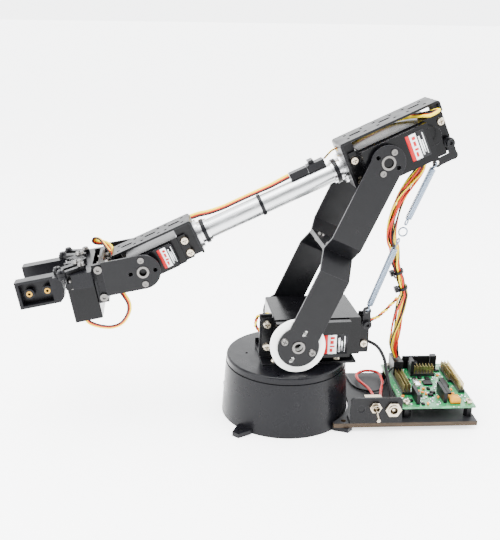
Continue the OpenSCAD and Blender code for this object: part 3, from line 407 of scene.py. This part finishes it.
def frames(path, first=(0.3, 1, 0.2)):
    """Two directions across the path at each point, carried along without spin."""
    normal, out = Vector(first), []
    for i in range(len(path)):
        t = (path[min(i + 1, len(path) - 1)] - path[max(i - 1, 0)]).normalized()
        normal = (normal - t * normal.dot(t)).normalized()
        out.append((normal, t.cross(normal)))
    return out


def ring(centre, across, radius, sides=8):
    n, b = across
    angles = (2 * math.pi * k / sides for k in range(sides))
    return [centre + radius * (math.cos(a) * n + math.sin(a) * b) for a in angles]


def strand(path, across, offset, radius, sides=8):
    """Rings of one wire that runs beside a path: offset(i) gives its two distances across."""
    rings = []
    for i, p in enumerate(path):
        x, y = offset(i)
        rings.append(ring(p + across[i][0] * x + across[i][1] * y, across[i], radius, sides))
    return rings


def arc_lengths(path):
    out = [0.0]
    for a, b in zip(path, path[1:]):
        out.append(out[-1] + (b - a).length)
    return out


SERVO_WIRES = ("yellow_wire", "red_wire", "brown_wire")
THICK = {"yellow_wire": 1.4, "red_wire": 0.8, "brown_wire": 0.8}


def servo_lead(name, body, points, place, replaces=(), blend=None, twist=None, radius=0.6,
               first=(0.3, 1, 0.2), lean=0.0):
    """A flat or twisted lead of three wires.

    twist is its lay length; a flat one turns slowly along its way, starting at lean.
    """
    path = smooth_path(points)
    across, at = frames(path, first), arc_lengths(path)
    piece = Piece(name, body, place)
    for j, mat in enumerate(SERVO_WIRES):
        def offset(i, j=j):
            if twist:
                a = 2 * math.pi * (at[i] / twist + j / 3)
                return 0.72 * math.cos(a), 0.72 * math.sin(a)
            a = lean + 0.5 * math.sin(at[i] / 23)
            return (j - 1) * 1.2 * math.cos(a), (j - 1) * 1.2 * math.sin(a)
        piece.sweep(strand(path, across, offset, radius * THICK[mat]), mat)
    made = piece.done(replaces=replaces, ride=not blend)
    if blend:
        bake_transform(made)
    return made


def plain_lead(name, body, points, place, radius, mat, replaces=(), blend=None):
    path = smooth_path(points)
    piece = Piece(name, body, place)
    piece.sweep(strand(path, frames(path), lambda i: (0, 0), radius, 12), mat)
    made = piece.done(replaces=replaces, ride=not blend)
    if blend:
        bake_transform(made)
    return made


BASE_BUNDLE = [[-95.8, -16.5, 32.5], [-92, -14, 44], [-92, -12, 60], [-94.5, -10, 84]]
ARM_BUNDLE = [[-95, -9, 91], [-89, -7, 108], [-85, -6, 118], [-83, -5, 130]]
ELBOW_BUNDLE = [
    [-79.8, -4, 137], [-79, -3, 149], [-82.5, -1, 167], [-89, 0, 179.5], [-95.5, 1, 190], [-97, 2, 195.5],
    [-94.9, 2, 200.2]]
BUNDLE_LAYERS = ((0.0, 1, 0.0), (1.25, 5, 0.3), (2.45, 9, 0.9))


def bundle():
    """The wires from the board to the elbow, in three stretches that each cross one joint."""
    path = smooth_path(BASE_BUNDLE + ARM_BUNDLE + ELBOW_BUNDLE, 1.6)
    across, at = frames(path), arc_lengths(path)
    starts = (Vector(ARM_BUNDLE[0]), Vector(ELBOW_BUNDLE[0]))
    cut = [min(range(len(path)), key=lambda i: (path[i] - start).length) for start in starts]
    tied = [at[min(range(len(path)), key=lambda i: abs(path[i].z - z))] for z in (33, 96, 110, 199)]
    stretches = (
        ("base_bundle_wires", "base", "turret", 0, cut[0], "base_leads"),
        ("arm_bundle_wires", "turret", "upper_arm", cut[0], cut[1], "arm_bundle"),
        ("elbow_bundle_wires", "upper_arm", "forearm", cut[1], len(path) - 1, "elbow_bundle"))
    for name, low_body, high_body, first, last, stands_for in stretches:
        piece = Piece(name, low_body, ROW)
        count = 0
        for radius, wires, shift in BUNDLE_LAYERS:
            for w in range(wires):
                mat = SERVO_WIRES[count % 3]
                phase = 2 * math.pi * (w / wires + shift)
                wave, swing = 0.35 + 0.25 * math.sin(2.1 * count), 1.7 * count
                count += 1

                def offset(i, radius=radius, phase=phase, wave=wave, swing=swing):
                    loose = min(1.0, min(abs(at[i] - t) for t in tied) / 12)
                    a = phase + at[i] / 30 + 0.5 * loose * math.sin(at[i] / 17 + swing)
                    r = radius * (0.82 + loose * 0.5) + wave * loose * math.sin(at[i] / 11 + swing)
                    return r * math.cos(a), r * math.sin(a)
                rings = strand(path, across, offset, 0.68, 7)
                piece.sweep(rings[first:last + 1], mat)
        made = piece.done(replaces=(stands_for,), ride=False)
        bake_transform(made)


STRAP = 0.9


def cable_tie(name, body, centre, axis, radius, place=ROW, tail=None, width=2.4):
    """A strap round a bundle, with its head and cut tail."""
    turn = Vector((0, 0, 1)).rotation_difference(Vector(axis)).to_matrix().to_4x4()
    at = Matrix.Translation(centre) @ turn
    piece = Piece(name, body, place)
    half, outside = width / 2, radius + STRAP
    strap = [(radius, -half), (outside, -half), (outside, half), (radius, half)]
    piece.lathe(strap, "black_plastic", at, 32, closed=True)
    head = half + STRAP
    piece.box((radius - 0.1, -2.4, -head), (radius + 3.2, 1.9, head), "black_plastic", at)
    if tail:
        piece.box((outside, 1.8, -half), (radius + 2, 1.8 + tail, half), "black_plastic", at)
    return piece.done(bevel=0.2)


bundle()
servo_lead(
    "shoulder_servo_lead", "turret",
    [[-53.2, 3, 70], [-58, 5, 71.5], [-64, 7, 74.5], [-72, 6, 78.5], [-80, 2, 83.5], [-88.5, -4.5, 88]],
    ROW, replaces=("shoulder_lead",), twist=9)
servo_lead(
    "shoulder_loop_lead", "turret",
    [[13.5, 2, 80.5], [17.5, 2, 81], [22.5, 2, 79.5], [24.7, 2, 74], [22.3, 2, 68], [17.5, 2, 65.5],
     [13.5, 2, 65.5]],
    ROW, twist=8)
servo_lead(
    "joiner_lead", "forearm", [[25.4, 1, 17.5], [29, 1, 17.4], [33, 0.5, 15.8], [36.2, 0, 14.2]],
    FORE, replaces=("forearm_lead",), radius=0.5)
servo_lead(
    "tube_top_lead", "forearm",
    [[64.3, -1, 12.6], [72, -1, 12.2], [80, -1, 11.7], [90, -1.5, 11.7], [100, -3, 11.4], [110, -5, 10.8],
     [118, -6, 10.6], [128, -6.5, 11.5], [136, -6, 13.4], [142.2, -5, 14.2]],
    FORE, radius=0.85, lean=-1.2)
servo_lead(
    "elbow_servo_lead", "forearm",
    [[-36, 4, 16.6], [-42, 14, 17], [-46, 22, 17.8], [-44.5, 25.5, 18], [-40.5, 24, 17.4], [-37.5, 15, 17],
     [-31, 0, 16.8], [-18, -12, 16.6], [4, -12, 16.8], [18, -4, 17.2], [25, 1, 17.5]],
    FORE, radius=0.8, lean=-0.4)
GRIP_LEAD = [
    [47, 16, -29.5], [45.5, 16.5, -32.5], [39.5, 17.5, -36], [31, 18.5, -38.2], [23, 18.5, -36.5],
    [17, 18, -30], [15.5, 17.5, -23.5], [17.5, 16.5, -17], [21, 13, -10], [22, 5, -2], [21.9, -5, 5],
    [22.2, -12, 11.4], [26, -14, 15.4], [30.5, -13, 17], [33, -11.5, 19.2], [31.4, -10.5, 21.6],
    [28, -8.5, 20.4], [25.2, -6, 15.8], [23.6, -4.4, 13], [22.7, -3.6, 11.4]]
servo_lead(
    "gripper_servo_lead", "gripper", GRIP_LEAD, HAND, replaces=("gripper_lead",), first=(0, 1, 0),
    lean=-1.1, radius=0.75,
    blend=("gripper", "forearm", HAND @ Vector((24, 17, -36)), HAND @ Vector((21.5, 10, -8))))
plain_lead(
    "jack_cable", "base",
    [[-79.6, 30.1, 19], [-79.6, 27, 20.5], [-78.5, 23, 28], [-76.5, 17, 39], [-75, 13, 47.5],
     [-70.5, 8.5, 55], [-63, 3.6, 58.2], [-58, 2.8, 58.6], [-53.6, 2.5, 58]],
    CARRIER, 1.3, "power_black",
    blend=("base", "turret", CARRIER @ Vector((-78, 22, 30)), CARRIER @ Vector((-58, 3, 58))))
plain_lead(
    "red_power_lead", "base",
    [[-67, 29.2, 20.6], [-68.5, 20, 17], [-70.5, 6, 11.5], [-69.5, -8, 10.6], [-64.5, -24, 10.4],
     [-65, -34, 10.4], [-71, -40, 10.4], [-78.5, -40.5, 10.4], [-83.8, -37, 10.4], [-84.6, -29, 10.4],
     [-83.4, -18, 10.6], [-79, -4, 11], [-75.5, 10, 12], [-74.5, 22, 16], [-75.6, 30, 18.6]],
    CARRIER, 1.1, "power_red", replaces=("board_leads",))
plain_lead(
    "black_power_lead", "base",
    [[-31.4, -39.5, 12], [-36, -45, 9.5], [-46, -47, 8], [-55.5, -41, 8], [-57.5, -30, 8], [-59, -20, 8],
     [-64, -12, 8], [-73, -8, 8], [-80, -9, 9.5], [-84.6, -12, 15], [-87, -14.4, 22], [-90.4, -15.5, 25.5]],
    CARRIER, 0.8, "power_black")
cable_tie("lower_bundle_tie", "turret", (-93.4, -8.4, 95.5), (0.34, 0.1, 1), 3.3)
cable_tie("upper_bundle_tie", "turret", (-88.3, -7, 109.5), (0.35, 0.1, 1), 3.4, tail=6)


# ---------- springs ----------

SPRING_Y = 21
EYE = 2.1


def helix_spring(name, foot, head, hooks, blend, stands_for, extra_ring=None):
    """A close-wound spring in the plane y = SPRING_Y, with a hooked eye at each end."""
    low, high = Vector((foot[0], SPRING_Y, foot[1])), Vector((head[0], SPRING_Y, head[1]))
    length = (high - low).length
    place = Matrix.Translation(low) @ Vector((0, 0, 1)).rotation_difference(high - low).to_matrix().to_4x4()
    coil, wire_r, pitch = 1.95, 0.6, 1.22
    start, end = hooks[0], length - hooks[1]
    turns = round((end - start) / pitch)
    steps = 14
    path = [Vector((0, 0, 2 * EYE)), Vector((0, 0, start - 1))]
    for k in range(turns * steps + 1):
        a = 2 * math.pi * k / steps
        height = start + (end - start) * k / (turns * steps)
        path.append(Vector((coil * math.cos(a), coil * math.sin(a), height)))
    path += [Vector((0, 0, end + 1)), Vector((0, 0, length - 2 * EYE))]
    piece = Piece(name, blend[0], ROW)
    put = [place @ p for p in path]
    piece.sweep(strand(put, frames(put), lambda i: (0, 0), wire_r, 6), "zinc_spring")
    for z in (EYE, length - EYE):
        at = place @ Matrix.Translation((0, 0, z)) @ Matrix.Rotation(math.pi / 2, 4, "Y")
        torus(piece, EYE, wire_r, "zinc_spring", at)
    if extra_ring:
        at = Matrix.Translation((extra_ring[0], SPRING_Y, extra_ring[1])) @ FACING_Y
        torus(piece, 3.2, 0.6, "zinc_spring", at)
    made = piece.done(replaces=(stands_for,), ride=False)
    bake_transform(made)


def torus(piece, big, small, mat, at, sides=28, ring_sides=8):
    angles = (2 * math.pi * k / ring_sides for k in range(ring_sides))
    profile = [(big + small * math.cos(a), small * math.sin(a)) for a in angles]
    piece.lathe(profile, mat, at, sides, closed=True)


helix_spring(
    "lower_spring_wire", (-57, 88.5), (-77.5, 144.4), (5, 8), ("turret", "upper_arm"), "lower_spring")
helix_spring(
    "upper_spring_wire", (-81.3, 154.8), (-100.33, 200.27), (5, 5), ("upper_arm", "forearm"), "upper_spring",
    (-80, 149.5))

# ---------- details ----------

def plate(piece, outline, low, high, mat, at):
    """A flat piece with the given outline in x and y."""
    bottom = [piece.bm.verts.new(at @ Vector((x, y, low))) for x, y in outline]
    top = [piece.bm.verts.new(at @ Vector((x, y, high))) for x, y in outline]
    n = len(outline)
    faces = [piece.bm.faces.new(bottom[::-1]), piece.bm.faces.new(top)]
    for k in range(n):
        j = (k + 1) % n
        faces.append(piece.bm.faces.new((bottom[k], bottom[j], top[j], top[k])))
    piece.tag(faces, mat)


def rounded(x0, y0, x1, y1, r, steps=5):
    out = []
    for cx, cy, start in ((x1 - r, y1 - r, 0), (x0 + r, y1 - r, 1), (x0 + r, y0 + r, 2), (x1 - r, y0 + r, 3)):
        for k in range(steps + 1):
            a = math.pi / 2 * (start + k / steps)
            out.append((cx + r * math.cos(a), cy + r * math.sin(a)))
    return out


LABEL_LIFT = 0.12
INK = 0.04
# Ranges of a label's width and height, from its red end
SILVER_BARS = ((0.62, 0.7, 0.1, 0.82), (0.74, 0.8, 0.18, 0.66), (0.86, 0.9, 0.1, 0.9))
RED_MARKS = (
    (0.28, 0.4, 0.12, 0.3), (0.28, 0.48, 0.36, 0.44), (0.3, 0.44, 0.52, 0.7), (0.3, 0.48, 0.76, 0.88))


def label(name, body, frame_at, face_y, corner, size, arc=None):
    """A printed label of plain bands on a face in the plane y = face_y; corner and size are (x, z).

    Its marks are ranges of its width and height, counted from its red end.
    """
    turn = Matrix.Rotation(math.pi / 2, 4, "X") @ Matrix.Diagonal((1, 1, -1, 1))
    at = Matrix.Translation((0, face_y, 0)) @ turn
    (x, z), (w, h) = corner, size
    piece = Piece(name, body, frame_at)

    def band(a, b, low, high, margin, end_margin, radius, base, mat):
        x0, x1 = x + w * (1 - b) + margin, x + w * (1 - a)
        outline = rounded(x0, z + h * low + end_margin, x1, z + h * high - end_margin, radius)
        plate(piece, outline, base, base + INK, mat, at)

    plate(piece, rounded(x, z, x + w, z + h, 0.6), 0.02, LABEL_LIFT, "label_black", at)
    band(0.0, 0.2, 0, 1, 0.15, 0.4, 0.2, LABEL_LIFT, "label_red")
    band(0.2, 0.56, 0, 1, 0.15, 0.4, 0.2, LABEL_LIFT, "label_white")
    for a, b, c, d in SILVER_BARS:
        band(a, b, c, d, 0, 0, 0.15, LABEL_LIFT, "label_silver")
    for a, b, c, d in RED_MARKS:
        band(a, b, c, d, 0, 0, 0.15, LABEL_LIFT + INK, "label_red")
    if arc:
        (cx, cz), r, start, stop = arc
        angles = (start + (stop - start) * k / 24 for k in range(25))
        path = [Vector((cx + r * math.cos(a), face_y, cz + r * math.sin(a))) for a in angles]
        piece.sweep(strand(path, frames(path, (0, 1, 0)), lambda i: (0, 0), 0.3, 8), "servo_case")
    return piece.done(smooth=False)


label("elbow_servo_label", "forearm", FORE, 26.5, (-31.5, -8.5), (14, 19.5), ((-36, 3), 6.5, 1.2, 5.1))
label("wrist_servo_label", "forearm", FORE, 17.5, (161.5, -7), (11.5, 15.5))
label("shoulder_servo_label", "turret", ROW, 28.5, (-41.5, 57.5), (19, 16))


# Bosses in the fingers, in the hand's frame: their places along it, height, and foot past half the jaw gap
BOSSES = (68.3, 81)
BOSS_Z, BOSS_FOOT, GRIP_GAP = -1.2, 2.3, 27.0


def finger_inserts():
    """Brass inserts in the bosses of both fingers."""
    profile = [(1.0, 1.2), (1.5, 1.2), (1.5, 5.0), (2.1, 5.0), (2.1, 5.3), (1.0, 5.3)]
    for name, body, side in (("left_inserts", "left_jaw", 1), ("right_inserts", "right_jaw", -1)):
        piece = Piece(name, body, HAND)
        for u in BOSSES:
            turn = Matrix.Rotation(-side * math.pi / 2, 4, "X")
            at = Matrix.Translation((u, side * (GRIP_GAP / 2 + BOSS_FOOT), BOSS_Z)) @ turn
            piece.lathe(profile, "brass", at, 24, closed=True)
        piece.done()


finger_inserts()

# What stands on the board already, as x and y ranges on the carrier
TAKEN = [
    (-99, -32, -90, 18), (-126.5, -23, -104, -14), (-142, -29, -133, 16), (-120, -6, -112, 2),
    (-101, 16, -97, 34), (-122.5, 10, -119, 32), (-128, 7, -124, 25), (-133, 24, -124, 34),
    (-131, -34, -125, -27), (-126, -33, -101, -29),
    (-109, -5, -103, 7), (-132, -9, -126, 7), (-115, -32, -105, -22)]
SMALL_PARTS = (
    (1.9, 1.2, 0.8, "tin"), (1.2, 0.8, 0.6, "tin"), (3.2, 2.4, 1.1, "black_board_parts"),
    (2.2, 1.3, 1.4, "cap_orange"), (1.6, 0.9, 0.6, "label_white"), (4.0, 3.6, 1.2, "black_board_parts"))


TRIES, MOST_PARTS = 700, 90
APART = 0.4


def near(low, high, other_low, other_high):
    return low < other_high + APART and high > other_low - APART


def board_parts():
    """Small parts in the free places on the board, a yellow capacitor and a tin-cased crystal."""
    back = CARRIER.inverted()
    corners = [back @ v.co for v in frame["nodes"]["controller_board"].data.vertices]
    low = [min(c[k] for c in corners) + 2 for k in range(2)]
    high = [max(c[k] for c in corners) - 2 for k in range(2)]
    top = max(c.z for c in corners)
    dice = random.Random(11)
    piece = Piece("small_board_parts", "base", CARRIER)
    taken = list(TAKEN)
    for k in range(TRIES):
        w, d, h, mat = SMALL_PARTS[k % len(SMALL_PARTS)]
        if dice.random() < 0.5:
            w, d = d, w
        x, y = dice.uniform(low[0], high[0] - w), dice.uniform(low[1], high[1] - d)
        if any(near(x, x + w, b[0], b[2]) and near(y, y + d, b[1], b[3]) for b in taken):
            continue
        taken.append((x, y, x + w, y + d))
        piece.box((x, y, top - 0.02), (x + w, y + d, top + h), mat)
        if len(taken) > len(TAKEN) + MOST_PARTS:
            break
    piece.box((-132.1, 24.9, top + 0.6), (-124.4, 33.1, top + 4.15), "cap_yellow")
    piece.box((-108.1, -4.1, top + 0.4), (-103.9, 6.1, top + 3.65), "tin")
    piece.done(smooth=False)


board_parts()


# ---------- floor and light ----------

BRIGHT_SIDE, DIM_SIDE = 5.2, 0.6


def light_room(tree):
    """A bright room above and behind the arm, dimmer on the camera's side."""
    way = tree.nodes.new("ShaderNodeSeparateXYZ")
    tree.links.new(tree.nodes.new("ShaderNodeTexCoord").outputs["Generated"], way.inputs[0])
    lean = tree.nodes.new("ShaderNodeMath")
    lean.operation = "MULTIPLY_ADD"
    tree.links.new(way.outputs["Z"], lean.inputs[0])
    lean.inputs[1].default_value = -0.75
    tree.links.new(way.outputs["Y"], lean.inputs[2])
    level = tree.nodes.new("ShaderNodeMapRange")
    level.interpolation_type = "SMOOTHSTEP"
    tree.links.new(lean.outputs[0], level.inputs["Value"])
    for key, value in (("From Min", -0.1), ("From Max", 0.5), ("To Min", BRIGHT_SIDE), ("To Max", DIM_SIDE)):
        level.inputs[key].default_value = value
    rim = tree.nodes.new("ShaderNodeMapRange")
    tree.links.new(way.outputs["Z"], rim.inputs["Value"])
    for key, value in (("From Min", 0.05), ("From Max", 0.16), ("To Min", BRIGHT_SIDE), ("To Max", DIM_SIDE)):
        rim.inputs[key].default_value = value
    strength = tree.nodes.new("ShaderNodeMath")
    strength.operation = "MAXIMUM"
    tree.links.new(level.outputs[0], strength.inputs[0])
    tree.links.new(rim.outputs[0], strength.inputs[1])
    room = tree.nodes["Background"]
    room.inputs["Color"].default_value = (0.98, 0.99, 1.0, 1)
    tree.links.new(strength.outputs[0], room.inputs["Strength"])


def floor_and_light():
    mesh = bpy.data.meshes.new("floor")
    mesh.from_pydata([(-40, -40, 0), (40, -40, 0), (40, 40, 0), (-40, 40, 0)], [], [(0, 1, 2, 3)])
    floor = bpy.data.objects.new("floor", mesh)
    bpy.context.scene.collection.objects.link(floor)
    s = Shader("floor", (0.9, 0.9, 0.9), 0.6)
    s.paint(s.blend(s.noise(3, 2), (0.94, 0.94, 0.94), (0.97, 0.97, 0.97)))
    s.bsdf.inputs["Emission Color"].default_value = (1, 1, 1, 1)
    s.bsdf.inputs["Emission Strength"].default_value = 1.6
    mesh.materials.append(s.mat)
    world = bpy.data.worlds.new("studio")
    world.use_nodes = True
    light_room(world.node_tree)
    bpy.context.scene.world = world
    for name, place, size, power in (
            ("top", (0.1, 0.1, 1.1), 0.8, 26), ("left", (0.95, 0.55, 0.45), 0.6, 12),
            ("right", (-0.9, 0.5, 0.6), 0.5, 7)):
        light = bpy.data.objects.new(name, bpy.data.lights.new(name, "AREA"))
        light.data.size, light.data.energy = size, power
        light.location = place
        light.rotation_euler = (Vector((0, 0, 0.1)) - Vector(place)).to_track_quat("-Z", "Y").to_euler()
        bpy.context.scene.collection.objects.link(light)


floor_and_light()
